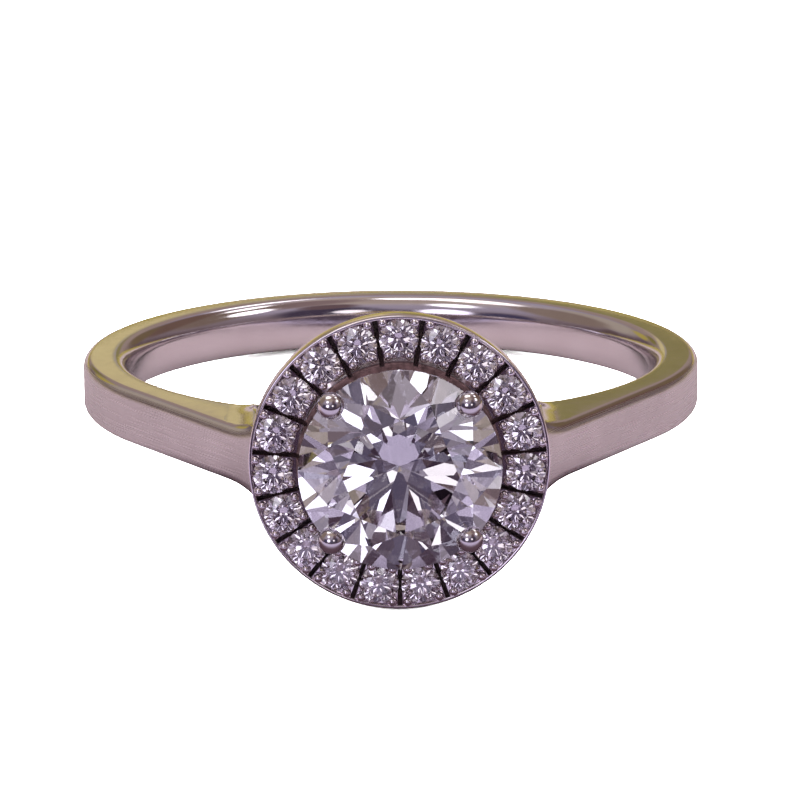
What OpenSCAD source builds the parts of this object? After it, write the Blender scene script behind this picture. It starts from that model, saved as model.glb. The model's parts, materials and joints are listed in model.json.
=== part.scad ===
// Halo ring lying on its side: a plain band whose straight shoulders rise to a round halo of small
// stones, with one larger stone held above it by four claws. Millimetres, +Z up, floor at Z = 0.
// The head points along -Y and rests on the rim of the halo, the band on the lower edge of its back.

/* [Band] */
// Inside diameter of the finger hole
finger_d = 16.5; // [14:0.1:21]
// Width of the band along the finger
band_w = 1.72; // [1.5:0.02:2.6]
// Thickness of the band's wall
band_wall = 1.45; // [1.2:0.05:1.9]
// Rounding of the edges of the finger hole
comfort_r = 0.4; // [0.2:0.05:0.5]

/* [Shoulders] */
// Thickness of the strut that carries the halo on each side
strut_t = 1.1; // [0.9:0.05:1.2]
// Thickness of the arch that closes the finger hole under the head
arch_t = 0.6; // [0.55:0.05:0.8]
// Distance from the halo's rim out to the end of the window in each shoulder
window_reach = 0.4; // [0.2:0.05:0.8]
// Depth below the halo's face at which the shoulder's outer face meets its rim
shoulder_drop = 0.36; // [0.25:0.02:0.5]

/* [Centre stone] */
// Diameter of the centre stone
stone_d = 6; // [5:0.1:7]
// Height of the girdle above the face of the halo
girdle_rise = 0.9; // [0.7:0.05:1.2]
// Clearance between the stone's point and the arch
point_gap = 0.73; // [0.5:0.01:1.2]
// Turn of the stone about its own axis
stone_turn = 0; // [0:1:44]

/* [Halo] */
// Reach of the halo beyond the girdle of the centre stone
halo_border = 1.45; // [1.3:0.05:1.8]
// Thickness of the halo plate
halo_t = 0.65; // [0.6:0.05:1]
// Width of the halo's raised outer rim
rim_w = 0.12; // [0.08:0.01:0.2]
// Depth of the channel that the halo stones lie in
channel_depth = 0.14; // [0.13:0.01:0.2]
// Depth of the halo stones' girdles below the face
girdle_sink = 0.06; // [0.04:0.01:0.07]
// Width of the flat ledge between the halo stones and the channel's inner wall
ledge_w = 0.12; // [0.1:0.01:0.15]
// Width of the metal inside the halo stones, ledge included
collar_w = 0.6; // [0.5:0.05:0.7]
// Diameter of the hole under each halo stone
light_hole_d = 0.52; // [0.4:0.02:0.6]
// Number of stones in the halo
halo_stones = 19; // [17:1:21]
// Gap between neighbouring halo stones
halo_gap = 0.065; // [0.05:0.005:0.1]
// Depth of the cuts between the halo stones
slot_depth = 0.34; // [0.25:0.01:0.4]
// Width of the cuts between the halo stones
slot_w = 0.15; // [0.1:0.01:0.18]
// Diameter of the beads that grip the halo stones
bead_d = 0.28; // [0.22:0.01:0.3]

/* [Claws and base ring] */
// Thickness of the four claws
claw_d = 0.74; // [0.6:0.02:0.9]
// Diameter of the round tip of each claw
tip_d = 0.8; // [0.74:0.02:1]
// Distance from the girdle's edge in to the middle of a claw tip
tip_grip = 0.14; // [0.1:0.01:0.2]
// Height of the middle of a claw tip above the girdle
tip_rise = 0.22; // [0.15:0.01:0.3]
// Diameter of the base ring, to the middle of its wire
base_d = 3.2; // [2.8:0.1:3.6]
// Thickness of the base ring's wire
base_wire = 0.7; // [0.5:0.05:0.8]
// Depth that the base ring is sunk into the arch
base_sink = 0.14; // [0.1:0.01:0.2]

/* [Fit] */
// Clearance between each stone and the metal that holds it
stone_clearance = 0.03; // [0.02:0.01:0.05]

/* [Hidden] */
$fn = 72;
eps = 0.01;

// Overlap of pieces that are soldered together
SOLDER = 0.05;

// Height of a bead's middle above the channel's floor, as a share of its radius
BEAD_STAND = 0.65;

// Gap between the inner beads and the channel's inner wall
BEAD_GAP = 0.07;

// Cut of every stone, as shares of its diameter and angles in degrees
TABLE_SHARE = 0.57;
CROWN_ANGLE = 34.5;
PAVILION_ANGLE = 40.8;
GIRDLE_SHARE = 0.03;
STAR_SHARE = 0.5;
LOWER_HALF_SHARE = 0.77;

finger_r = finger_d / 2;
band_r = finger_r + band_wall;
arch_r = finger_r + arch_t;
stone_r = stone_d / 2;
halo_r = stone_r + halo_border;

// Heights along the head's axis, measured from the centre of the finger hole
point_h = arch_r + point_gap;
girdle_h = point_h + pavilion_depth(stone_d) + GIRDLE_SHARE * stone_d;
face_h = girdle_h - girdle_rise;
plate_h = face_h - halo_t;
table_h = girdle_h + crown_height(stone_d);
tip_h = girdle_h + tip_rise;

// Halo: a ring of equal stones that just fits inside the rim, with a gap between neighbours
half_pitch = sin(180 / halo_stones);
halo_stone_d = (2 * (halo_r - rim_w) * half_pitch - halo_gap) / (1 + half_pitch);
halo_stone_r = halo_stone_d / 2;
halo_ring_r = halo_r - rim_w - halo_stone_r;
halo_girdle_h = face_h - girdle_sink;
channel_floor_h = face_h - channel_depth;
channel_in_r = halo_ring_r - halo_stone_r - ledge_w;
halo_hole_r = halo_ring_r - halo_stone_r - collar_w;
slot_in_r = channel_in_r - slot_w / 2;
bead_r = bead_d / 2;
bead_off = slot_w / 2 + bead_r + eps;
bead_out_r = halo_r - rim_w - BEAD_STAND * bead_r;
bead_in_r = channel_in_r + bead_r + BEAD_GAP;
bead_h = channel_floor_h + BEAD_STAND * bead_r;

// Shoulder: from its foot on the band a straight face runs up to the rim of the halo. The foot lies
// BLEND_ANGLE past the tangent point, a kink that is too small to see.
BLEND_ANGLE = 1;
join = [halo_r, -(face_h - shoulder_drop)];
foot_angle = atan2(join.x, -join.y) + acos(band_r / norm(join)) - BLEND_ANGLE;
foot = band_r * [sin(foot_angle), -cos(foot_angle)];
along = (join - foot) / norm(join - foot);
inward = [along.y, -along.x];
window_x = halo_r + window_reach;
strut_foot = foot + inward * strut_t;

// Base ring and claws
base_r = base_d / 2;
base_h = sqrt(arch_r * arch_r - base_r * base_r) + base_wire / 2 - base_sink;
claw_r = claw_d / 2;
tip_r = tip_d / 2;
tip_axis_r = stone_r - tip_grip;
claw_lean = atan2(tip_axis_r - base_r, tip_h - base_h);
claw_len = norm([tip_axis_r - base_r, tip_h - base_h]);

// Pose on the floor: turned until the halo's lower back edge and the band's lower edge touch it
rest_tilt = atan2(halo_r - band_w / 2, band_r + plate_h);
rest_lift = band_r * sin(rest_tilt) + band_w / 2 * cos(rest_tilt);
table_drop = table_r(stone_d) * max([for (k = [0:7]) -cos(stone_turn + 45 * k)]);
table_front = table_h * cos(rest_tilt) + table_drop * sin(rest_tilt);
tip_front = tip_h * cos(rest_tilt) + tip_axis_r * sin(45) * sin(rest_tilt) + tip_r;
front_y = -max(table_front, tip_front);
back_y = band_r * cos(rest_tilt) + band_w / 2 * sin(rest_tilt);
rest_shift = -(front_y + back_y) / 2;

function two_digits(k) = str(k < 10 ? "0" : "", k);
function halo_stone_name(k) = str("halo_stone_", two_digits(k));

// Proportions of a round brilliant of diameter d
function table_r(d) = TABLE_SHARE * d / 2;
function crown_height(d) = (d / 2 - table_r(d)) * tan(CROWN_ANGLE);
function pavilion_depth(d) = d / 2 * tan(PAVILION_ANGLE);

// A point at radius r, angle a and height z
function polar(r, a, z) = [r * cos(a), r * sin(a), z];

// Height above the girdle of a point on the crown facet that faces angle 0
function crown_z(d, r, a) = (d / 2 - r * cos(a)) * tan(CROWN_ANGLE);

// Height below the girdle of a point on the pavilion facet that faces angle 0
function pavilion_z(d, r, a) = -pavilion_depth(d) + r * cos(a) * tan(PAVILION_ANGLE);

// Radius at which the eight star facets and the eight crown facets meet
function star_r(d) = let (inner = table_r(d) * cos(22.5)) inner + STAR_SHARE * (d / 2 - inner);

// Height at angle a of the facet through the girdle's ends at 0 and 22.5 degrees and a point p at
// 22.5 degrees, on the girdle's round side
function scallop(d, p, a) =
    let (g0 = polar(d / 2, 0, 0))
    let (g1 = polar(d / 2, 22.5, 0))
    let (n = cross(g1 - g0, p - g0))
    let (q = polar(d / 2, a, 0) - g0)
    -(n.x * q.x + n.y * q.y) / n.z;

// Round brilliant with its girdle's upper edge at height 0: a table, 8 stars, 8 crown facets and
// 16 upper halves, then a round girdle with steps sides for each half, 16 lower halves and 8
// pavilion facets that meet in a point.
module brilliant(d, steps) {
    r = d / 2;
    girdle = GIRDLE_SHARE * d;
    sides = 16 * steps;
    star = polar(star_r(d), 22.5, crown_z(d, star_r(d), 22.5));
    low_r = (1 - LOWER_HALF_SHARE) * r;
    low = polar(low_r, 22.5, pavilion_z(d, low_r, 22.5));

    // Angle measured from the nearest girdle corner below it, 0 to 22.5 and mirrored in every other half
    function local(k) =
        let (half = floor(k / steps))
        let (a = (k - half * steps) * 22.5 / steps)
        half % 2 == 0 ? a : 22.5 - a;

    tables = [for (k = [0:7]) polar(table_r(d), 45 * k, crown_height(d))];
    stars = [for (k = [0:7]) polar(star_r(d), 45 * k + 22.5, star.z)];
    tops = [for (k = [0:sides - 1]) polar(r, 360 * k / sides, scallop(d, star, local(k)))];
    bottoms = [for (k = [0:sides - 1]) polar(r, 360 * k / sides, scallop(d, low, local(k)) - girdle)];
    lows = [for (k = [0:7]) polar(low_r, 45 * k + 22.5, low.z - girdle)];
    tip = [[0, 0, -pavilion_depth(d) - girdle]];

    star_0 = 8;
    top_0 = 16;
    bottom_0 = top_0 + sides;
    low_0 = bottom_0 + sides;
    tip_0 = low_0 + 8;
    per = 2 * steps;
    function top_i(k) = top_0 + (k + sides) % sides;
    function bottom_i(k) = bottom_0 + (k + sides) % sides;

    polyhedron(
        points = concat(tables, stars, tops, bottoms, lows, tip),
        faces = concat(
            [[for (k = [7:-1:0]) k]],
            [for (k = [0:7]) [k, (k + 1) % 8, star_0 + k]],
            [for (k = [0:7]) [k, star_0 + k, top_i(per * k), star_0 + (k + 7) % 8]],
            [for (k = [0:7]) [star_0 + k, for (j = [steps:-1:0]) top_i(per * k + j)]],
            [for (k = [0:7]) [star_0 + k, for (j = [steps:-1:0]) top_i(per * k + steps + j)]],
            [for (k = [0:sides - 1]) [top_i(k), top_i(k + 1), bottom_i(k + 1), bottom_i(k)]],
            [for (k = [0:7]) [low_0 + k, for (j = [0:steps]) bottom_i(per * k + j)]],
            [for (k = [0:7]) [low_0 + k, for (j = [0:steps]) bottom_i(per * k + steps + j)]],
            [for (k = [0:7]) [tip_0, low_0 + (k + 7) % 8, bottom_i(per * k), low_0 + k]]
        )
    );
}

// Turned space that a stone of diameter d needs, open above as far as the stone itself reaches
module stone_space(d) {
    c = stone_clearance;
    r = d / 2 + c;
    bottom = -GIRDLE_SHARE * d - c;
    rotate_extrude()
        polygon([
            [0, bottom - pavilion_depth(d)],
            [r, bottom],
            [r, c],
            [table_r(d) + c, crown_height(d) + c],
            [0, crown_height(d) + c]
        ]);
}

// Frames of reference: the ring's own, the head's (its axis along +Z) and one halo stone's
module laid_down() {
    translate([0, rest_shift, rest_lift]) rotate([-rest_tilt, 0, 0]) children();
}

module at_head() {
    rotate([90, 0, 0]) children();
}

module at_halo_stone(k) {
    rotate([0, 0, -360 / halo_stones * (k - 1)]) translate([0, halo_ring_r, halo_girdle_h]) children();
}

// Outline of the band, its shoulders and the arch, seen along the finger
module band_outline() {
    difference() {
        union() {
            circle(r = band_r);
            shoulders_outline();
        }
        circle(r = finger_r);
        difference() {
            window_outline();
            circle(r = arch_r);
        }
    }
}

// Both shoulders as one solid outline, from inside the band up to where they meet the halo's rim
module shoulders_outline() {
    start = foot - along * band_r * sin(BLEND_ANGLE);
    polygon([[-start.x, 0], [start.x, 0], start, join, [-join.x, join.y], [-start.x, start.y]]);
}

// Space between the two struts, from the ends of the windows up past the top of the shoulders. The
// struts end SOLDER inside the halo plate.
module window_outline() {
    corner = strut_foot + along * (window_x - strut_foot.x) / along.x;
    end = strut_foot + along * (-plate_h - SOLDER - strut_foot.y) / along.y;
    top = join.y - SOLDER;
    polygon([
        [-window_x, 0], [window_x, 0], corner, end, [end.x, top],
        [-end.x, top], [-end.x, end.y], [-corner.x, corner.y]
    ]);
}

// Cutter that rounds one edge of the finger hole, just short of tangent to the two faces
module comfort_cutter() {
    set_in = 1.03 * comfort_r;
    arc_r = norm([set_in, set_in - comfort_r]);
    rotate_extrude()
        difference() {
            translate([finger_r - comfort_r, band_w / 2 - comfort_r]) square(2 * comfort_r);
            translate([finger_r + set_in, band_w / 2 - set_in]) circle(r = arc_r);
        }
}

module band() {
    difference() {
        linear_extrude(height = band_w, center = true) band_outline();
        comfort_cutter();
        mirror([0, 0, 1]) comfort_cutter();
    }
}

// Halo plate with a channel for the stones, a raised rim outside it and a bevelled collar inside it
module halo_plate() {
    rotate_extrude()
        polygon([
            [halo_hole_r, plate_h],
            [halo_r, plate_h],
            [halo_r, face_h],
            [halo_r - rim_w, face_h],
            [halo_r - rim_w, channel_floor_h],
            [channel_in_r, channel_floor_h],
            [channel_in_r, face_h],
            [halo_hole_r + rim_w, face_h],
            [halo_hole_r, face_h - rim_w]
        ]);
}

// Four beads of one halo stone, two at its outer edge and two at its inner edge
module beads(k) {
    place = 360 / halo_stones * (k - 1);
    half = 180 / halo_stones;
    for (r = [bead_in_r, bead_out_r])
        for (side = [-1, 1])
            rotate([0, 0, -place - side * half])
                translate([side * bead_off, sqrt(r * r - bead_off * bead_off), bead_h])
                    sphere(r = bead_r, $fn = 24);
}

// Cut between two neighbouring halo stones, through the rim and down its side
module slot(k) {
    rotate([0, 0, -360 / halo_stones * (k - 0.5)])
        translate([-slot_w / 2, slot_in_r, face_h - slot_depth])
            cube([slot_w, halo_r, slot_depth + bead_d]);
}

// Hole drilled under a halo stone, so that light reaches it from behind
module light_hole() {
    depth = halo_girdle_h - plate_h;
    translate([0, 0, -depth - eps]) cylinder(d = light_hole_d, h = depth, $fn = 36);
}

module base_ring() {
    translate([0, 0, base_h]) rotate_extrude() translate([base_r, 0]) circle(d = base_wire);
}

module claw(angle) {
    rotate([0, 0, angle])
        translate([base_r, 0, base_h])
            rotate([0, claw_lean, 0]) {
                cylinder(r = claw_r, h = claw_len);
                translate([0, 0, claw_len]) sphere(r = tip_r);
            }
}

// All the metal, soldered into one piece, with the spaces for the stones cut out of it
module band_and_setting() {
    color([0.74, 0.7, 0.72])
        laid_down()
            difference() {
                union() {
                    band();
                    at_head() {
                        halo_plate();
                        for (k = [1:halo_stones]) beads(k);
                        base_ring();
                        for (angle = [45:90:315]) claw(angle);
                    }
                }
                at_head() {
                    for (k = [1:halo_stones]) slot(k);
                    for (k = [1:halo_stones])
                        at_halo_stone(k) {
                            stone_space(halo_stone_d);
                            light_hole();
                        }
                    translate([0, 0, girdle_h]) stone_space(stone_d);
                }
            }
}

module center_stone() {
    color([0.88, 0.88, 0.95, 0.7])
        laid_down() at_head() translate([0, 0, girdle_h]) rotate([0, 0, 90 + stone_turn]) brilliant(stone_d, 3);
}

module halo_stone(k) {
    color([0.85, 0.83, 0.9, 0.7])
        laid_down() at_head() at_halo_stone(k) rotate([0, 0, 90]) brilliant(halo_stone_d, 1);
}

band_and_setting();
center_stone();
for (k = [1:halo_stones]) halo_stone(k);
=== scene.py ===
import json
from math import asin, atan2, copysign, cos, hypot, pi, radians, sin, sqrt, tan

import bmesh
import bpy
from mathutils import Matrix, Vector


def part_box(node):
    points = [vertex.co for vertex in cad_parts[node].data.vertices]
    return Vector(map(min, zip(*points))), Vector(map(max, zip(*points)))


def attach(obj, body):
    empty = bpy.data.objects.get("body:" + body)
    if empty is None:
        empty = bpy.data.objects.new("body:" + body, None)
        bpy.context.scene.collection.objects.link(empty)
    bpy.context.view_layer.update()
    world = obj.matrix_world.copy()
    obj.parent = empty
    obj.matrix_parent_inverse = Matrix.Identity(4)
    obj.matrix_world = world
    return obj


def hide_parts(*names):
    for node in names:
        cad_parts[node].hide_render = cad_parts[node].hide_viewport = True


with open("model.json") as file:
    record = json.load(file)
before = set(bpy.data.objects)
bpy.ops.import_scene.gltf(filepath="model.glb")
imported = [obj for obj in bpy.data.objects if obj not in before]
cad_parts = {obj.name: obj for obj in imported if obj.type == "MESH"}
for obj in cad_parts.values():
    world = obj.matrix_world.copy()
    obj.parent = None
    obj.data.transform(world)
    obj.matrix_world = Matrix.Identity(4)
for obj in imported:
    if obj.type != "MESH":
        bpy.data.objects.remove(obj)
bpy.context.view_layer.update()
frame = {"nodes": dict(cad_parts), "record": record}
METAL_NODE = "band_and_setting"
HOLE = frame["record"]["mounts"][0]


def width_of(name):
    low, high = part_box(name)
    return 1000 * (high.x - low.x)


# Sizes in millimetres, in the ring's own frame: the finger's axis is +Z, the head points along -Y.
# Heights on the head are measured along its axis from the centre of the finger hole.

# Band
BAND_W = 1.72
BAND_WALL = 1.45
BAND_STEPS = 360
SATIN_RISE = 0.5
COMFORT_R = 0.47
COMFORT_STRETCH = 1.35
COMFORT_STEPS = 8
EDGE_R = 0.1
EDGE_STEPS = 4
SHOULDER_EDGE_R = 0.32
SHOULDER_EDGE_STEPS = 6
ARCH_T = 0.6

# Shoulders: a strut with a window below it, and a flare where it meets the halo.
# The cuts for a window reach WINDOW_CUT_BACK inwards from its end, and past it for the strut.
SHOULDER_DROP = 0.36
STRUT_T = 1.1
STRUT_END = 0.45
WINDOW_REACH = -0.3
WINDOW_CUT_BACK = 1.5
WINDOW_CUT_PAST = 0.5
FLARE = 0.28
ARCH_FLARE = 0.1
FLARE_LEN = 0.85
FLARE_RISE = 0.9
FLARE_BEND = 2.5
FLARE_STEPS = 9

# Heights of the head. HEAD_TOP is past all of it.
GIRDLE_RISE = 0.9
POINT_GAP = 0.73
HEAD_TOP = 13

# Halo plate, with the seats, cuts and beads of its stones
HALO_BORDER = 1.45
HALO_T = 0.65
RIM_W = 0.12
PLATE_EDGE_R = 0.05
COLLAR_EDGE_R = 0.06
CORNER_STEPS = 4
CHANNEL_DEPTH = 0.14
GIRDLE_SINK = 0.06
LEDGE_W = 0.12
COLLAR_W = 0.6
LIGHT_HOLE_R = 0.26
SLOT_DEPTH = 0.34
SLOT_W = 0.15
STEPS_PER_STONE = 12
BEAD_R = 0.14
BEAD_STAND = 0.65
BEAD_GAP = 0.07
BEAD_FOOT = 0.12
BEAD_CLEAR = 0.01

# How far the band goes into the halo plate, from below and from the side
PLATE_BITE = 0.02
RIM_BITE = 0.03

# Claws and their base ring
CLAWS = 4
CLAW_R = 0.37
CLAW_FOOT = 0.1
CLAW_FOOT_BULGE = 0.4
CLAW_NECK = 0.35
SHAFT_STEPS = 6
TIP_R = 0.41
TIP_GRIP = 0.14
TIP_RISE = 0.22
TIP_STEPS = 14
BASE_R = 1.6
BASE_WIRE_R = 0.35
BASE_SINK = 0.14

# Cut of the stones
CLEARANCE = 0.03
TABLE_SHARE = 0.57
GIRDLE_SHARE = 0.03
CROWN_SLOPE = tan(radians(34.5))
PAVILION_SLOPE = tan(radians(40.8))

# How near counts as the same point, on a line, on a face or at a corner
SAME = 1e-4
ON_LINE = 1e-3
ON_FACE = 0.01
AT_CORNER = 0.1

# Edges above the first angle are rounded, and those below the second are shaded smoothly
SHARP = radians(50)
SMOOTH_UNDER = radians(30)

# Limits for how much of a face's normal lies along an axis
LEVEL = 0.99
OUTWARDS = 0.6
LEANING = 0.5
SIDEWAYS = 0.3
UPRIGHT = 0.1

# Steps of half a circle, and a height past what a cutter cuts
HALF_STEPS = 12
CUTTER_PAST = 1.0

FINGER_R = HOLE["dims"]["r_mm"]
BAND_R = FINGER_R + BAND_WALL
ARCH_R = FINGER_R + ARCH_T
STONE_R = width_of("center_stone") / 2
HALO_R = STONE_R + HALO_BORDER
HALO_STONES = sum(name.startswith("halo_stone_") for name in frame["nodes"])
PITCH = 2 * pi / HALO_STONES
HALO_STONE_R = width_of("halo_stone_01") / 2
HALO_RING_R = HALO_R - RIM_W - HALO_STONE_R

GIRDLE_H = ARCH_R + POINT_GAP + STONE_R * PAVILION_SLOPE + 2 * STONE_R * GIRDLE_SHARE
FACE_H = GIRDLE_H - GIRDLE_RISE
PLATE_H = FACE_H - HALO_T
FLOOR_H = FACE_H - CHANNEL_DEPTH
SLOT_H = FACE_H - SLOT_DEPTH
CHANNEL_IN_R = HALO_RING_R - HALO_STONE_R - LEDGE_W
HALO_HOLE_R = HALO_RING_R - HALO_STONE_R - COLLAR_W
SLOT_IN_R = CHANNEL_IN_R - SLOT_W / 2
BEAD_OFF = SLOT_W / 2 + BEAD_R + BEAD_CLEAR
BEAD_OUT_R = HALO_R - RIM_W - BEAD_STAND * BEAD_R
BEAD_IN_R = CHANNEL_IN_R + BEAD_R + BEAD_GAP
BEAD_H = FLOOR_H + BEAD_STAND * BEAD_R
TIP_H = GIRDLE_H + TIP_RISE
TIP_AXIS_R = STONE_R - TIP_GRIP
BASE_H = sqrt(ARCH_R**2 - BASE_R**2) + BASE_WIRE_R - BASE_SINK
WINDOW_X = HALO_R + WINDOW_REACH
STRUT_IN_R = BAND_R - STRUT_T
NEAR_HEAD = 0.8 * ARCH_R

# The straight outer face of a shoulder touches the band's circle at SHOULDER_TURN from the head.
# On the right shoulder, AWAY points out of that face and ALONG towards the halo.
JOIN_H = FACE_H - SHOULDER_DROP
SHOULDER_TURN = atan2(HALO_R, JOIN_H) + (pi / 2 - asin(BAND_R / hypot(HALO_R, JOIN_H)))
AWAY = Vector((sin(SHOULDER_TURN), -cos(SHOULDER_TURN), 0))
ALONG = Vector((-cos(SHOULDER_TURN), -sin(SHOULDER_TURN), 0))

# The studio, in metres and degrees. Azimuth 0 is in front of the head and 90 to its right.
FLOOR_SIZE = 2.0
SHEET_RISE = 0.000005
# Colours of the sheet from in front of the ring to behind it
SHEET = (
    (-0.042, (0.004, 0.0024, 0.004)),
    (-0.030, (0.05, 0.043, 0.06)),
    (-0.016, (0.05, 0.043, 0.06)),
    (-0.010, (0.058, 0.046, 0.052)),
    (0.030, (0.054, 0.043, 0.044)),
    (0.060, (0.042, 0.034, 0.010)),
)
# A painted shadow below the head, a dark oval: colour, middle, reach each way, share all dark
SHADE = (0.010, 0.006, 0.008)
SHADE_AT = (0, -0.009, 0)
SHADE_SIZE = (0.0225, 0.009, 1)
SHADE_CORE = 0.4
FLOOR_LIGHT_AWAY = 1.2
# Azimuth, elevation, size and power of each light
FLOOR_LIGHTS = {
    "floor_light_top": (-20, 75, 1.5, 130.0),
    "floor_light_left": (-65, 25, 0.8, 110.0),
    "floor_light_right": (65, 25, 0.8, 110.0),
}
# Colours of the walls by elevation
WALLS = (
    (0, (0.12, 0.08, 0.09)),
    (12, (0.22, 0.17, 0.19)),
    (40, (0.36, 0.315, 0.4)),
    (80, (0.5, 0.42, 0.4)),
)
# Azimuth, elevation, the angles from its middle where each patch is full and where it is gone,
# and its colour. A later patch lies over an earlier one.
PATCHES = (
    # Wide and soft
    (0, 88, 20, 34, (0.42, 0.34, 0.3)),
    (90, 62, 14, 26, (0.24, 0.17, 0.17)),
    (180, 12, 10, 30, (0.33, 0.25, 0.22)),
    # Low behind the ring, where the flat sides of the band mirror them
    (-164, 8, 3, 6, (0.2, 0.17, 0.05)),
    (-176, 3, 2, 7, (0.62, 0.52, 0.27)),
    (176, 3, 2, 6, (0.25, 0.215, 0.09)),
    (179.3, 2.5, 0.8, 2.2, (0.38, 0.33, 0.3)),
    # At the sides and behind
    (-136, 28, 12, 24, (0.4, 0.34, 0.29)),
    (105, 38, 18, 30, (0.2, 0.145, 0.12)),
    (-105, 34, 16, 28, (0.25, 0.19, 0.16)),
    (136, 28, 12, 22, (0.16, 0.1, 0.08)),
    (-153, 12, 3, 8, (0.42, 0.34, 0.08)),
    (152, 14, 6, 14, (0.17, 0.12, 0.07)),
    (-118, 4, 3, 9, (0.12, 0.08, 0.08)),
    # In front of the ring
    (-55, 8, 9, 20, (0.06, 0.05, 0.1)),
    (0, 9, 10, 24, (0.1, 0.085, 0.14)),
    (30, 22, 14, 30, (0.06, 0.045, 0.075)),
    (-27, 18, 9, 13.5, (2.1, 2.0, 2.5)),
    (18, 21, 5, 9, (1.5, 1.4, 1.5)),
    (36, 48, 8, 15, (0.14, 0.09, 0.1)),
    (-40, 50, 7, 11, (2.1, 2.05, 2.3)),
    (84, 42, 7, 11, (2.6, 2.5, 2.7)),
    # Small and bright, high behind the ring
    (160, 44, 5, 8, (2.4, 2.3, 2.4)),
    (120, 53, 5, 8, (2.4, 2.3, 2.4)),
    (-120, 69, 10, 15, (2.0, 1.9, 1.9)),
    (-150, 82, 5, 9, (3.0, 3.0, 3.2)),
)

# The camera stands 12.8 degrees above the band's plane, 1.2 degrees to the left, 160 mm away
CAM_RISE = radians(12.8)
CAM_TURN = radians(-1.2)
CAM_ROLL = radians(-0.3)
CAM_AWAY = 160.0
SENSOR_W = 36.0
NEAREST, FARTHEST = 0.005, 20.0
# In pixels of the square picture, from its upper left corner
IMAGE_PX = 800.0
FOCAL_PX = 5056.0
CENTRE_PX = (391.0, 377.4)

# Frames: the ring as it lies on the floor, and the head with its axis along +Z
MM = 0.001
bore = Vector(HOLE["axis"]).normalized()
across = Vector((1, 0, 0))
turned = Matrix((across, bore.cross(across), bore)).transposed().to_4x4()
CENTRE = Vector(HOLE["pos_m"])
RING = Matrix.Translation(CENTRE) @ turned @ Matrix.Scale(MM, 4)
ONTO_HEAD = Matrix.Rotation(radians(90), 4, "X")
HEAD = RING @ ONTO_HEAD


# Materials

# Noise runs between these values nearly everywhere
NOISE_LOW, NOISE_HIGH = 0.3, 0.7
# Sockets of a colour mix
MIX_SHARE, MIX_UNDER, MIX_OVER, MIX_RESULT = 0, 6, 7, 2


def node(tree, kind, **values):
    """A new node, with values for its sockets or its own settings."""
    made = tree.nodes.new(kind)
    for name, value in values.items():
        if name in made.inputs:
            made.inputs[name].default_value = value
        else:
            setattr(made, name, value)
    return made


def new_material(name):
    material = bpy.data.materials.new(name)
    material.use_nodes = True
    tree = material.node_tree
    return material, tree, tree.nodes["Principled BSDF"]


def in_ring_frame(tree):
    """Object coordinates in millimetres in the ring's own frame."""
    place = node(tree, "ShaderNodeTexCoord")
    mapping = node(
        tree,
        "ShaderNodeMapping",
        vector_type="TEXTURE",
        Location=CENTRE,
        Rotation=turned.to_euler("XYZ"),
        Scale=(MM, MM, MM),
    )
    tree.links.new(place.outputs["Object"], mapping.inputs["Vector"])
    return mapping.outputs["Vector"]


def noise(tree, vector, scale, detail=3.0):
    made = node(tree, "ShaderNodeTexNoise", Scale=scale, Detail=detail)
    tree.links.new(vector, made.inputs["Vector"])
    return made.outputs["Fac"]


def ranged(tree, value, low, high):
    """A noise value spread from low to high."""
    limits = {"From Min": NOISE_LOW, "From Max": NOISE_HIGH, "To Min": low, "To Max": high}
    made = node(tree, "ShaderNodeMapRange", **limits)
    tree.links.new(value, made.inputs["Value"])
    return made.outputs["Result"]


def stepped(tree, value, low, high):
    """A soft step: 0 up to low, 1 from high on."""
    limits = {"From Min": low, "From Max": high}
    made = node(tree, "ShaderNodeMapRange", interpolation_type="SMOOTHSTEP", **limits)
    tree.links.new(value, made.inputs["Value"])
    return made.outputs["Result"]


def graded(tree, value, stops, interpolation="LINEAR"):
    """Colours along a value from 0 to 1, from stops of a position and a colour."""
    ramp = node(tree, "ShaderNodeValToRGB")
    ramp.color_ramp.interpolation = interpolation
    while len(ramp.color_ramp.elements) < len(stops):
        ramp.color_ramp.elements.new(0.5)
    for stop, (position, colour) in zip(ramp.color_ramp.elements, stops):
        stop.position = position
        stop.color = (*colour, 1)
    tree.links.new(value, ramp.inputs["Fac"])
    return ramp.outputs["Color"]


def mottled(tree, value, dark, light):
    return graded(tree, value, ((NOISE_LOW, dark), (NOISE_HIGH, light)))


def mixed(tree, share, under, over):
    """The colour under where the share is 0 and over where it is 1, each a socket or a colour."""
    mix = node(tree, "ShaderNodeMix", data_type="RGBA")
    tree.links.new(share, mix.inputs[MIX_SHARE])
    for place, colour in ((MIX_UNDER, under), (MIX_OVER, over)):
        if isinstance(colour, tuple):
            mix.inputs[place].default_value = (*colour, 1)
        else:
            tree.links.new(colour, mix.inputs[place])
    return mix.outputs[MIX_RESULT]


def bumped(tree, shader, height, strength, distance):
    bump = node(tree, "ShaderNodeBump", Strength=strength, Distance=distance)
    tree.links.new(height, bump.inputs["Height"])
    tree.links.new(bump.outputs["Normal"], shader.inputs["Normal"])


def polished_metal(name, dark, light):
    material, tree, shader = new_material(name)
    shader.inputs["Metallic"].default_value = 1.0
    place = in_ring_frame(tree)
    colour = mottled(tree, noise(tree, place, scale=0.8), dark, light)
    tree.links.new(colour, shader.inputs["Base Color"])
    polish = ranged(tree, noise(tree, place, scale=3.0), low=0.07, high=0.14)
    tree.links.new(polish, shader.inputs["Roughness"])
    waves = noise(tree, place, scale=1.3, detail=2.0)
    bumped(tree, shader, waves, strength=0.1, distance=0.00002)
    return material


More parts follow.
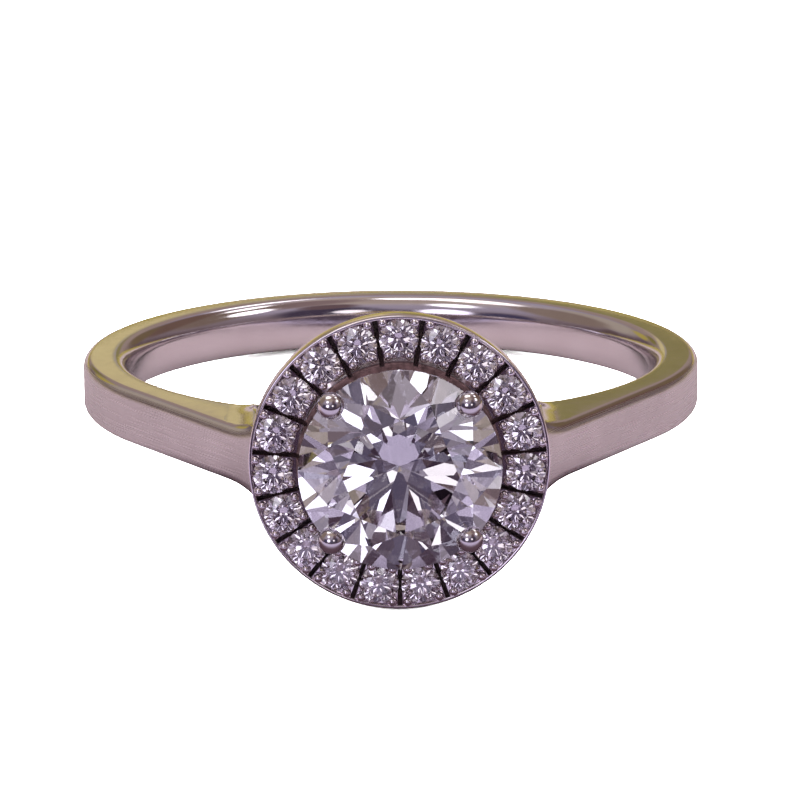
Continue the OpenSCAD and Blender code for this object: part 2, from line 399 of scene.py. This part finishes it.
def satin_metal(name, dark, light, stretched):
    """Metal with fine lines that run around the band, closer together across it than along it."""
    material, tree, shader = new_material(name)
    shader.inputs["Metallic"].default_value = 1.0
    place = in_ring_frame(tree)
    split = node(tree, "ShaderNodeSeparateXYZ")
    tree.links.new(place, split.inputs["Vector"])
    around = node(tree, "ShaderNodeMath", operation="ARCTAN2")
    tree.links.new(split.outputs["X"], around.inputs[0])
    tree.links.new(split.outputs["Y"], around.inputs[1])
    brushed = node(tree, "ShaderNodeCombineXYZ")
    tree.links.new(around.outputs["Value"], brushed.inputs["X"])
    stretch = node(tree, "ShaderNodeMath", operation="MULTIPLY")
    stretch.inputs[1].default_value = stretched
    tree.links.new(split.outputs["Z"], stretch.inputs[0])
    tree.links.new(stretch.outputs["Value"], brushed.inputs["Y"])
    lines = noise(tree, brushed.outputs["Vector"], scale=4.0, detail=5.0)
    colour = mottled(tree, noise(tree, place, scale=0.6), dark, light)
    tree.links.new(colour, shader.inputs["Base Color"])
    tree.links.new(ranged(tree, lines, low=0.24, high=0.36), shader.inputs["Roughness"])
    bumped(tree, shader, lines, strength=0.15, distance=0.00001)
    return material


# Painted shade: dark, dull metal for the halo's cuts and collar, where shade falls
def painted_shade_metal(name, dark, light):
    material, tree, shader = new_material(name)
    place = in_ring_frame(tree)
    shader.inputs["Metallic"].default_value = 0.6
    colour = mottled(tree, noise(tree, place, scale=5.0), dark, light)
    tree.links.new(colour, shader.inputs["Base Color"])
    dullness = ranged(tree, noise(tree, place, scale=9.0), low=0.4, high=0.6)
    tree.links.new(dullness, shader.inputs["Roughness"])
    return material


def clear_stone(name, dark, light):
    material, tree, shader = new_material(name)
    place = in_ring_frame(tree)
    shader.inputs["Transmission Weight"].default_value = 1.0
    shader.inputs["IOR"].default_value = 2.42
    shader.inputs["Roughness"].default_value = 0.0
    colour = mottled(tree, noise(tree, place, scale=0.5), dark, light)
    tree.links.new(colour, shader.inputs["Base Color"])
    return material


POLISHED = polished_metal("polished_metal", dark=(0.74, 0.69, 0.7), light=(0.8, 0.76, 0.77))
BRIGHT = polished_metal("bright_cut_metal", dark=(0.86, 0.78, 0.81), light=(0.92, 0.85, 0.88))
SATIN = satin_metal("satin_metal", dark=(0.62, 0.58, 0.58), light=(0.7, 0.66, 0.66), stretched=9.0)
# Painted shade for the cuts and the collar of the halo
PAINTED_SHADE = painted_shade_metal("painted_shade_metal", dark=(0.012, 0.006, 0.0065), light=(0.036, 0.019, 0.021))
STONE = clear_stone("clear_stone", dark=(0.97, 0.97, 1.0), light=(1.0, 1.0, 1.0))
SMALL_STONE = clear_stone("faint_rose_stone", dark=(0.99, 0.93, 0.95), light=(1.0, 0.95, 0.97))


# Shapes


def lathe(bm, profile, steps=96):
    """Turns a closed outline of (radius, height) points about the head's axis."""
    points = [bm.verts.new((r, 0, h)) for r, h in profile]
    sides = [bm.edges.new(pair) for pair in zip(points, points[1:] + points[:1])]
    bmesh.ops.spin(
        bm,
        geom=points + sides,
        cent=(0, 0, 0),
        axis=(0, 0, 1),
        angle=2 * pi,
        steps=steps,
        use_merge=True,
    )
    bmesh.ops.remove_doubles(bm, verts=bm.verts, dist=1e-5)
    bmesh.ops.recalc_face_normals(bm, faces=bm.faces)


def quarter(r, h, radius, start):
    """Rounds the corner (r, h) of an outline by a quarter circle from an angle on, in degrees."""
    out = 1 if start in (-90, 0) else -1
    high = 1 if start >= 0 else -1
    middle = (r - out * radius, h - high * radius)
    turns = [radians(start + 90 * k / CORNER_STEPS) for k in range(CORNER_STEPS + 1)]
    return [(middle[0] + radius * cos(t), middle[1] + radius * sin(t)) for t in turns]


def repeat_about_head(bm, count):
    """Copies all of bm evenly about the head's axis, count in all."""
    bmesh.ops.spin(
        bm,
        geom=bm.verts[:] + bm.edges[:] + bm.faces[:],
        cent=(0, 0, 0),
        axis=(0, 0, 1),
        angle=2 * pi * (count - 1) / count,
        steps=count - 1,
        use_duplicate=True,
    )


def points_in(geom):
    return [part for part in geom if isinstance(part, bmesh.types.BMVert)]


def faces_where(bm, wanted):
    """The faces whose middle is as wanted."""
    return [f for f in bm.faces if wanted(f.calc_center_median())]


def cut_across(bm, faces, point, normal, **more):
    """Cuts the faces along a plane."""
    verts = dict.fromkeys(v for f in faces for v in f.verts)
    edges = dict.fromkeys(e for f in faces for e in f.edges)
    bmesh.ops.bisect_plane(
        bm, geom=[*verts, *edges, *faces], dist=SAME, plane_co=point, plane_no=normal, **more
    )


def carved(bm, cutters):
    """bm without the space of each cutter. All are closed shapes."""
    whole = bpy.data.meshes.new("whole")
    bm.to_mesh(whole)
    body = bpy.data.objects.new("whole", whole)
    bpy.context.scene.collection.objects.link(body)
    spare = [body]
    for cutter in cutters:
        tool = bpy.data.meshes.new("tool")
        cutter.to_mesh(tool)
        holder = bpy.data.objects.new("tool", tool)
        bpy.context.scene.collection.objects.link(holder)
        cut = body.modifiers.new("cut", "BOOLEAN")
        cut.operation = "DIFFERENCE"
        cut.solver = "MANIFOLD"
        cut.object = holder
        spare.append(holder)
    ready = bpy.context.evaluated_depsgraph_get()
    left = bpy.data.meshes.new_from_object(body.evaluated_get(ready))
    result = bmesh.new()
    result.from_mesh(left)
    for unused in spare:
        mesh = unused.data
        bpy.data.objects.remove(unused)
        bpy.data.meshes.remove(mesh)
    bpy.data.meshes.remove(left)
    return result


def sharp_edges(bm, wanted):
    """The sharp edges whose points are all as wanted."""
    return [
        e
        for e in bm.edges
        if len(e.link_faces) == 2
        and e.calc_face_angle() > SHARP
        and all(wanted(v) for v in e.verts)
    ]


def rounded(bm, edges, radius, segments):
    bmesh.ops.bevel(
        bm,
        geom=edges,
        offset=radius,
        offset_type="OFFSET",
        affect="EDGES",
        segments=segments,
        profile=0.5,
        material=-1,
        clamp_overlap=False,
    )


def add_piece(name, bm, place, materials=(POLISHED,)):
    """A finished piece of the metal, set in its place."""
    bmesh.ops.transform(bm, matrix=place, verts=bm.verts)
    mesh = bpy.data.meshes.new(name)
    bm.to_mesh(mesh)
    for material in materials:
        mesh.materials.append(material)
    mesh.shade_smooth()
    mesh.set_sharp_from_angle(angle=SMOOTH_UNDER)
    piece = bpy.data.objects.new(name, mesh)
    bpy.context.scene.collection.objects.link(piece)
    even = piece.modifiers.new("even_normals", "WEIGHTED_NORMAL")
    even.keep_sharp = True
    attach(piece, "root")
    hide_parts(METAL_NODE)
    return piece


def stone_space(bm, radius, girdle_h, top_h, hole_r=0.0, hole_h=0.0, steps=64):
    """Space of a round stone to cut its seat with, and of a hole below its point if wanted."""
    r = radius + CLEARANCE
    seat_h = girdle_h - 2 * radius * GIRDLE_SHARE - CLEARANCE
    crown_r = radius * TABLE_SHARE + CLEARANCE
    crown_h = girdle_h + radius * (1 - TABLE_SHARE) * CROWN_SLOPE + CLEARANCE
    outline = [(0, top_h), (crown_r, top_h), (crown_r, crown_h)]
    outline += [(r, girdle_h + CLEARANCE), (r, seat_h)]
    if hole_r:
        outline += [(hole_r, seat_h - (r - hole_r) * PAVILION_SLOPE), (hole_r, hole_h), (0, hole_h)]
    else:
        outline += [(0, seat_h - r * PAVILION_SLOPE)]
    lathe(bm, outline, steps)


def on_outside(v):
    """Whether a point of the band lies on its round outside or on a shoulder's straight one."""
    if atan2(abs(v.co.x), -v.co.y) < SHOULDER_TURN:
        reach = abs(v.co.x) * sin(SHOULDER_TURN) - v.co.y * cos(SHOULDER_TURN)
        return abs(reach - BAND_R) < ON_FACE
    return abs(v.co.xy.length - BAND_R) < ON_FACE


def has_satin(f):
    """Whether a face of the band is on its outside, looking away from the finger."""
    centre = f.calc_center_median().xy
    return (
        abs(f.normal.z) < LEANING
        and centre.length > ARCH_R + SATIN_RISE
        and centre.dot(f.normal.xy) > OUTWARDS * centre.length
    )


def flat_band(bm):
    """The lower flat side in two tracks, with the outer edge straight over the shoulders."""
    line = [bm.verts.new((0, r, -BAND_W / 2)) for r in (FINGER_R, ARCH_R, BAND_R)]
    sides = [bm.edges.new(pair) for pair in zip(line, line[1:])]
    bmesh.ops.spin(
        bm,
        geom=line + sides,
        cent=(0, 0, 0),
        axis=(0, 0, 1),
        angle=2 * pi,
        steps=BAND_STEPS,
        use_merge=True,
    )
    for v in bm.verts:
        turn = atan2(abs(v.co.x), -v.co.y)
        if v.co.xy.length > (ARCH_R + BAND_R) / 2 and turn < SHOULDER_TURN:
            v.co.x /= cos(SHOULDER_TURN - turn)
            v.co.y /= cos(SHOULDER_TURN - turn)


def open_windows(bm):
    """Cuts the windows at their outer ends and along each strut, and opens them."""
    for side in (-1, 1):
        mirror = Vector((side, 1, 1))
        cuts = (
            (Vector((side * WINDOW_X, 0, 0)), Vector((side, 0, 0)), BAND_R),
            (AWAY * STRUT_IN_R * mirror, AWAY * mirror, WINDOW_CUT_PAST),
        )
        for point, normal, past in cuts:
            front = faces_where(
                bm,
                lambda c: c.xy.length > ARCH_R
                and c.y < 0
                and WINDOW_X - WINDOW_CUT_BACK < side * c.x < WINDOW_X + past,
            )
            cut_across(bm, front, point, normal)
    opened = faces_where(
        bm, lambda c: abs(c.x) < WINDOW_X - SAME and c.y < 0 and c.length > ARCH_R + ON_FACE
    )
    bmesh.ops.delete(bm, geom=opened, context="FACES")


def draw_struts(bm):
    """Draws each strut out to the halo from one edge, and leaves no loose edges behind."""
    corner_h = (STRUT_IN_R - WINDOW_X * AWAY.x) / -AWAY.y
    outside_h = (BAND_R - WINDOW_X * AWAY.x) / -AWAY.y
    reach = (WINDOW_X - HALO_HOLE_R - STRUT_END) / -ALONG.x
    for side in (-1, 1):
        low = Vector((side * WINDOW_X, -corner_h, -BAND_W / 2))
        high = Vector((side * WINDOW_X, -outside_h, -BAND_W / 2))
        for corner in (low, high):
            near = [v for v in bm.verts if (v.co - corner).length < AT_CORNER]
            kept = min(near, key=lambda v: (v.co - corner).length)
            bmesh.ops.weld_verts(bm, targetmap={v: kept for v in near if v != kept})
            kept.co = corner
        between = [
            v
            for v in bm.verts
            if abs(v.co.x - low.x) < ON_LINE and high.y + ON_FACE < v.co.y < low.y - ON_FACE
        ]
        bmesh.ops.dissolve_verts(bm, verts=between)
        cut = [
            e
            for e in bm.edges
            if all(abs(v.co.x - low.x) < ON_LINE and v.co.y < low.y + ON_LINE for v in e.verts)
        ]
        ends = points_in(bmesh.ops.extrude_edge_only(bm, edges=cut)["geom"])
        bmesh.ops.translate(bm, verts=ends, vec=ALONG * Vector((side, 1, 1)) * reach)
        bmesh.ops.dissolve_edges(bm, edges=cut, use_verts=False, use_face_split=False)
    top = FACE_H - RIM_W
    high = [f for f in bm.faces if max(-v.co.y for v in f.verts) > top]
    cut_across(bm, high, point=(0, -top, 0), normal=(0, -1, 0), clear_outer=True)
    bmesh.ops.remove_doubles(bm, verts=bm.verts, dist=SAME)


def thicken_and_round(bm):
    """Gives the band its width and rounds its edges: the hole's, the outer ones and the rest."""
    upper = points_in(bmesh.ops.extrude_face_region(bm, geom=bm.faces[:])["geom"])
    bmesh.ops.translate(bm, verts=upper, vec=(0, 0, BAND_W))
    bmesh.ops.recalc_face_normals(bm, faces=bm.faces)
    for f in bm.faces:
        f.material_index = int(has_satin(f))
    hole = sharp_edges(bm, lambda v: abs(v.co.xy.length - FINGER_R) < ON_FACE)
    rounded(bm, hole, COMFORT_R, COMFORT_STEPS)
    for v in bm.verts:
        depth = BAND_W / 2 - abs(v.co.z)
        if v.co.xy.length < FINGER_R + COMFORT_R - SAME and depth < COMFORT_R + SAME:
            v.co.z = copysign(BAND_W / 2 - depth * COMFORT_STRETCH, v.co.z)
    past_hole = FINGER_R + COMFORT_R + 2 * ON_FACE
    outside = sharp_edges(bm, lambda v: v.co.xy.length > past_hole and on_outside(v))
    rounded(bm, outside, SHOULDER_EDGE_R, SHOULDER_EDGE_STEPS)
    rest = sharp_edges(bm, lambda v: v.co.xy.length > past_hole and not on_outside(v))
    rounded(bm, rest, EDGE_R, EDGE_STEPS)


def flare_shoulders(bm):
    """Widens each shoulder where it meets the halo, bent over close lines across and along it."""
    halo_x = sqrt(HALO_R**2 - (BAND_W / 2 * (1 + FLARE)) ** 2)
    for side in (-1, 1):
        mirror = Vector((side, 1, 1))
        for k in range(FLARE_STEPS + 1):
            x = side * (halo_x - FLARE_LEN / FLARE_STEPS + FLARE_LEN * k / FLARE_STEPS)
            head = faces_where(bm, lambda c: -c.y > NEAR_HEAD)
            cut_across(bm, head, point=(x, 0, 0), normal=(side, 0, 0))
        for k in range(1, FLARE_STEPS):
            shoulder = faces_where(
                bm,
                lambda c: -c.y > NEAR_HEAD
                and halo_x - FLARE_LEN < side * c.x < halo_x + FLARE_LEN,
            )
            flat = [f for f in shoulder if abs(f.normal.z) > LEVEL]
            line = AWAY * (BAND_R - STRUT_T * k / FLARE_STEPS) * mirror
            cut_across(bm, flat, point=line, normal=AWAY * mirror)
    for v in bm.verts:
        if v.co.y < 0:
            near = min(1.0, max(0.0, 1 - (abs(v.co.x) - halo_x) / FLARE_LEN))
            strut = min(1.0, max(0.0, (v.co.xy.length - ARCH_R) / FLARE_RISE))
            v.co.z *= 1 + (ARCH_FLARE + (FLARE - ARCH_FLARE) * strut) * near**FLARE_BEND


def make_band():
    """Band, shoulders and arch in one piece, with room for the halo plate between the struts."""
    bm = bmesh.new()
    flat_band(bm)
    open_windows(bm)
    draw_struts(bm)
    thicken_and_round(bm)
    flare_shoulders(bm)
    plate = bmesh.new()
    low, r = PLATE_H + PLATE_BITE, HALO_R - RIM_BITE
    lathe(plate, [(0, low), (r, low), (r, HEAD_TOP), (0, HEAD_TOP)])
    bmesh.ops.transform(plate, matrix=ONTO_HEAD, verts=plate.verts)
    return add_piece("band", carved(bm, [plate]), RING, (POLISHED, SATIN))


def gets_painted_shade(f):
    """Whether a face of the halo plate is on its collar or inside a cut, where shade is painted in
    as dark metal.
    """
    centre = f.calc_center_median()
    out = centre.xy.length
    turn = (atan2(centre.x, centre.y) / PITCH - 0.5) % 1
    turn = min(turn, 1 - turn) * PITCH
    near_slot = out * sin(turn) < SLOT_W / 2 + ON_FACE and out > SLOT_IN_R - ON_FACE
    sideways = abs(f.normal.xy.normalized().dot(centre.xy.normalized())) < SIDEWAYS
    wall = abs(f.normal.z) < UPRIGHT and sideways
    collar = HALO_HOLE_R < out < CHANNEL_IN_R and centre.z > FLOOR_H + ON_FACE
    return collar or near_slot and (wall or abs(centre.z - SLOT_H) < ON_FACE)


def halo_seat(steps, **hole):
    """Space of one halo stone in its place at the back of the halo."""
    seat = bmesh.new()
    stone_space(
        seat, HALO_STONE_R, FACE_H - GIRDLE_SINK, FACE_H + CUTTER_PAST, steps=steps, **hole
    )
    bmesh.ops.translate(seat, vec=(0, HALO_RING_R, 0), verts=seat.verts)
    return seat


def make_halo():
    """The halo's plate, with a rim, a collar, a seat for each stone and a cut on each side of it."""
    bm = bmesh.new()
    lathe(
        bm,
        [(HALO_HOLE_R, PLATE_H)]
        + quarter(HALO_R, PLATE_H, PLATE_EDGE_R, -90)
        + quarter(HALO_R, FACE_H, RIM_W / 2, 0)
        + quarter(HALO_R - RIM_W, FACE_H, RIM_W / 2, 90)
        + [(HALO_R - RIM_W, FLOOR_H), (CHANNEL_IN_R, FLOOR_H)]
        + quarter(CHANNEL_IN_R, FACE_H, COLLAR_EDGE_R, 0)
        + [(HALO_HOLE_R + RIM_W, FACE_H), (HALO_HOLE_R, FACE_H - RIM_W)],
        HALO_STONES * STEPS_PER_STONE,
    )
    slots = bmesh.new()
    length = HALO_R - RIM_W - SLOT_IN_R
    middle = (0, SLOT_IN_R + length / 2, SLOT_H + CUTTER_PAST / 2)
    bmesh.ops.create_cube(slots, size=1)
    bmesh.ops.scale(slots, vec=(SLOT_W, length, CUTTER_PAST), verts=slots.verts)
    bmesh.ops.translate(slots, vec=middle, verts=slots.verts)
    half_pitch = Matrix.Rotation(-PITCH / 2, 3, "Z")
    bmesh.ops.rotate(slots, cent=(0, 0, 0), matrix=half_pitch, verts=slots.verts)
    repeat_about_head(slots, HALO_STONES)
    seats = halo_seat(steps=40, hole_r=LIGHT_HOLE_R, hole_h=PLATE_H - CUTTER_PAST / 2)
    repeat_about_head(seats, HALO_STONES)
    bm = carved(bm, [seats, slots])
    # Painted shade on the collar and in the cuts
    for f in bm.faces:
        f.material_index = int(gets_painted_shade(f))
    return add_piece("halo_plate", bm, HEAD, (BRIGHT, PAINTED_SHADE))


def make_beads():
    """Four small beads for each halo stone, two on each side of it."""
    bm = bmesh.new()
    turns = [k * pi / HALF_STEPS for k in range(HALF_STEPS // 2 + 1)]
    dome = [(BEAD_R * cos(t), BEAD_R * sin(t)) for t in turns]
    lathe(bm, [(0, -BEAD_FOOT), (BEAD_R, -BEAD_FOOT)] + dome, steps=20)
    bmesh.ops.translate(bm, vec=(0, 0, BEAD_H), verts=bm.verts)
    one = bm.verts[:] + bm.edges[:] + bm.faces[:]
    spots = []
    for r in (BEAD_IN_R, BEAD_OUT_R):
        for side in (-1, 1):
            spot = Vector((side * BEAD_OFF, sqrt(r * r - BEAD_OFF**2), 0))
            spot.rotate(Matrix.Rotation(-side * PITCH / 2, 3, "Z"))
            spots.append(spot)
    for spot in spots[1:]:
        another = points_in(bmesh.ops.duplicate(bm, geom=one)["geom"])
        bmesh.ops.translate(bm, vec=spot, verts=another)
    bmesh.ops.translate(bm, vec=spots[0], verts=points_in(one))
    bm = carved(bm, [halo_seat(steps=64)])
    repeat_about_head(bm, HALO_STONES)
    return add_piece("halo_beads", bm, HEAD, (BRIGHT,))


def make_claws():
    """Four leaning round claws, each with a ball at its tip and a seat for the stone's edge."""
    bm = bmesh.new()
    lean = atan2(TIP_AXIS_R - BASE_R, TIP_H - BASE_H)
    length = hypot(TIP_AXIS_R - BASE_R, TIP_H - BASE_H)
    low = -asin(CLAW_R / TIP_R) + pi / 2
    turns = [-low + (low + pi / 2) * k / TIP_STEPS for k in range(TIP_STEPS + 1)]
    ball = [(TIP_R * cos(t), length + TIP_R * sin(t)) for t in turns]
    turns = [k * pi / HALF_STEPS for k in range(HALF_STEPS // 2)]
    bulge = CLAW_R * CLAW_FOOT_BULGE
    foot = [(CLAW_R * sin(t), -CLAW_FOOT - bulge * cos(t)) for t in turns]
    rises = [(length - CLAW_NECK) * k / SHAFT_STEPS for k in range(SHAFT_STEPS + 1)]
    shaft = [(CLAW_R, -CLAW_FOOT + rise) for rise in rises]
    lathe(bm, foot + shaft + ball, steps=48)
    bmesh.ops.rotate(bm, cent=(0, 0, 0), matrix=Matrix.Rotation(lean, 3, "Y"), verts=bm.verts)
    bmesh.ops.translate(bm, vec=(BASE_R, 0, BASE_H), verts=bm.verts)
    seat = bmesh.new()
    stone_space(seat, STONE_R, GIRDLE_H, GIRDLE_H + 2 * CUTTER_PAST, steps=96)
    bm = carved(bm, [seat])
    to_corner = Matrix.Rotation(pi / CLAWS, 3, "Z")
    bmesh.ops.rotate(bm, cent=(0, 0, 0), matrix=to_corner, verts=bm.verts)
    repeat_about_head(bm, CLAWS)
    return add_piece("claws", bm, HEAD)


def make_base_ring():
    """The wire ring under the stone that the claws stand on."""
    bm = bmesh.new()
    turns = [k * pi / HALF_STEPS for k in range(2 * HALF_STEPS)]
    lathe(bm, [(BASE_R + BASE_WIRE_R * cos(t), BASE_H + BASE_WIRE_R * sin(t)) for t in turns])
    return add_piece("base_ring", bm, HEAD)


make_band()
make_halo()
make_beads()
make_claws()
make_base_ring()
for name, cad in frame["nodes"].items():
    if name != METAL_NODE:
        cad.data.materials.clear()
        cad.data.materials.append(STONE if name == "center_stone" else SMALL_STONE)


# Floor, light and camera


def towards(azimuth, elevation):
    """Direction at an azimuth and an elevation in degrees, as in the studio's values."""
    a, e = radians(azimuth), radians(elevation)
    return Vector((sin(a) * cos(e), -cos(a) * cos(e), sin(e)))


def lay(name, rise, material):
    """A wide flat sheet at a height over the floor."""
    bm = bmesh.new()
    bmesh.ops.create_grid(bm, x_segments=1, y_segments=1, size=FLOOR_SIZE)
    bmesh.ops.translate(bm, vec=(0, 0, rise), verts=bm.verts)
    mesh = bpy.data.meshes.new(name)
    bm.to_mesh(mesh)
    mesh.materials.append(material)
    laid = bpy.data.objects.new(name, mesh)
    bpy.context.scene.collection.objects.link(laid)
    return laid


def pale_paper():
    material, tree, shader = new_material("pale_paper")
    shader.inputs["Roughness"].default_value = 0.9
    shader.inputs["Specular IOR Level"].default_value = 0.1
    place = node(tree, "ShaderNodeTexCoord")
    grain = noise(tree, place.outputs["Object"], scale=40.0)
    colour = mottled(tree, grain, dark=(0.86, 0.86, 0.86), light=(0.88, 0.88, 0.88))
    tree.links.new(colour, shader.inputs["Base Color"])
    return material


def tinted_paper():
    """Colours from in front of the ring to behind it, with a painted shadow, a dark oval, below the
    head.
    """
    material, tree, shader = new_material("tinted_paper")
    shader.inputs["Roughness"].default_value = 1.0
    shader.inputs["Specular IOR Level"].default_value = 0.0
    place = node(tree, "ShaderNodeTexCoord")
    split = node(tree, "ShaderNodeSeparateXYZ")
    tree.links.new(place.outputs["Object"], split.inputs["Vector"])
    first, last = SHEET[0][0], SHEET[-1][0]
    behind = node(tree, "ShaderNodeMapRange", **{"From Min": first, "From Max": last})
    tree.links.new(split.outputs["Y"], behind.inputs["Value"])
    stops = [((y - first) / (last - first), colour) for y, colour in SHEET]
    around_head = node(
        tree, "ShaderNodeMapping", vector_type="TEXTURE", Location=SHADE_AT, Scale=SHADE_SIZE
    )
    tree.links.new(place.outputs["Object"], around_head.inputs["Vector"])
    apart = node(tree, "ShaderNodeVectorMath", operation="LENGTH")
    tree.links.new(around_head.outputs["Vector"], apart.inputs[0])
    clear = stepped(tree, apart.outputs["Value"], SHADE_CORE, 1.0)
    open_floor = graded(tree, behind.outputs["Result"], stops, "EASE")
    tree.links.new(mixed(tree, clear, SHADE, open_floor), shader.inputs["Base Color"])
    return material


lay("floor", 0, pale_paper())

# A darker sheet over the floor, seen only in the metal and the stones, with a painted shadow under
# the head
sheet = lay("tinted_sheet", SHEET_RISE, tinted_paper())
sheet.visible_camera = sheet.visible_diffuse = sheet.visible_shadow = False

# Lights for the floor: wide and soft, and not mirrored by the ring
for name, (azimuth, elevation, size, power) in FLOOR_LIGHTS.items():
    data = bpy.data.lights.new(name, "AREA")
    data.shape = "RECTANGLE"
    data.size = data.size_y = size
    data.energy = power
    lamp = bpy.data.objects.new(name, data)
    lamp.location = towards(azimuth, elevation) * FLOOR_LIGHT_AWAY
    lamp.rotation_mode = "QUATERNION"
    lamp.rotation_quaternion = towards(azimuth, elevation).to_track_quat("Z", "Y")
    lamp.visible_camera = lamp.visible_glossy = lamp.visible_transmission = False
    bpy.context.scene.collection.objects.link(lamp)

# What the ring mirrors: walls shaded by height, with soft patches of light and shade on them
world = bpy.data.worlds.new("studio")
bpy.context.scene.world = world
world.use_nodes = True
tree = world.node_tree
view = node(tree, "ShaderNodeTexCoord").outputs["Generated"]
split = node(tree, "ShaderNodeSeparateXYZ")
tree.links.new(view, split.inputs["Vector"])
heights = [(sin(radians(elevation)), colour) for elevation, colour in WALLS]
seen = graded(tree, split.outputs["Z"], heights, "EASE")
for azimuth, elevation, full, gone, colour in PATCHES:
    near = node(tree, "ShaderNodeVectorMath", operation="DOT_PRODUCT")
    near.inputs[1].default_value = towards(azimuth, elevation)
    tree.links.new(view, near.inputs[0])
    share = stepped(tree, near.outputs["Value"], cos(radians(gone)), cos(radians(full)))
    seen = mixed(tree, share, seen, colour)
tree.links.new(seen, tree.nodes["Background"].inputs["Color"])

scene = bpy.context.scene
scene.view_settings.view_transform = "Standard"
scene.cycles.max_bounces = 24
scene.cycles.transmission_bounces = 20
scene.cycles.glossy_bounces = 8

# The camera looks past the ring's centre, which shows at CENTRE_PX
to_camera = Vector((sin(CAM_TURN) * cos(CAM_RISE), -cos(CAM_TURN) * cos(CAM_RISE), sin(CAM_RISE)))
forward = -to_camera
right = forward.cross(Vector((0, 0, 1))).normalized()
up = right.cross(forward)
shift_right = (IMAGE_PX / 2 - CENTRE_PX[0]) * CAM_AWAY / FOCAL_PX
shift_down = (IMAGE_PX / 2 - CENTRE_PX[1]) * CAM_AWAY / FOCAL_PX
aim = right * shift_right - up * shift_down
spot = to_camera * CAM_AWAY
look = (spot - aim).normalized()
side = Vector((0, 0, 1)).cross(look).normalized()
pose = Matrix((side, look.cross(side), look)).transposed().to_4x4()
lens = bpy.data.cameras.new("camera")
lens.sensor_width = SENSOR_W
lens.lens = FOCAL_PX / IMAGE_PX * lens.sensor_width
lens.clip_start = NEAREST
lens.clip_end = FARTHEST
viewer = bpy.data.objects.new("camera", lens)
standing = turned @ pose @ Matrix.Rotation(CAM_ROLL, 4, "Z")
viewer.matrix_world = Matrix.Translation(RING @ spot) @ standing
scene.collection.objects.link(viewer)
scene.camera = viewer
